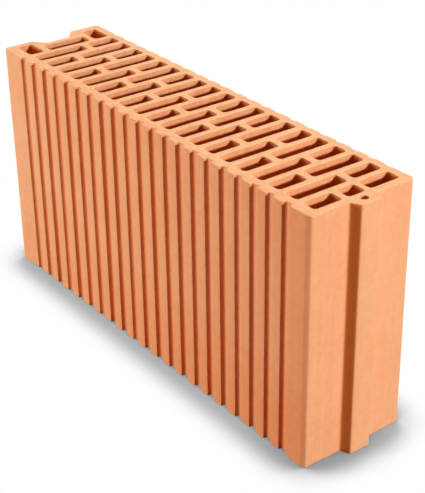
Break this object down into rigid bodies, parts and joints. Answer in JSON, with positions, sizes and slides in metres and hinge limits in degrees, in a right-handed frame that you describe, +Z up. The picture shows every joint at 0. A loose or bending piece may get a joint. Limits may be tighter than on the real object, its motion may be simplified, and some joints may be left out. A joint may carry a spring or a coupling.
{
  "type": "hollow clay block",
  "caption": "Upright hollow clay partition block with staggered vertical slots, ribbed long faces, and a tongue and groove at its ends.",
  "frame": {"origin": "middle of the footprint, tongue included, on the bottom bed face", "axes": "+X along the wall towards the tongue end, +Y through the wall towards the back face, +Z up"},
  "size_m": [0.498, 0.115, 0.249],
  "materials": {
    "fired_clay": "matt fired terracotta, unglazed, with drawn lines down the sides and wire-cut ends"
  },
  "bodies": {
    "root": {"clay_block": "fired_clay"}
  },
  "joints": []
}
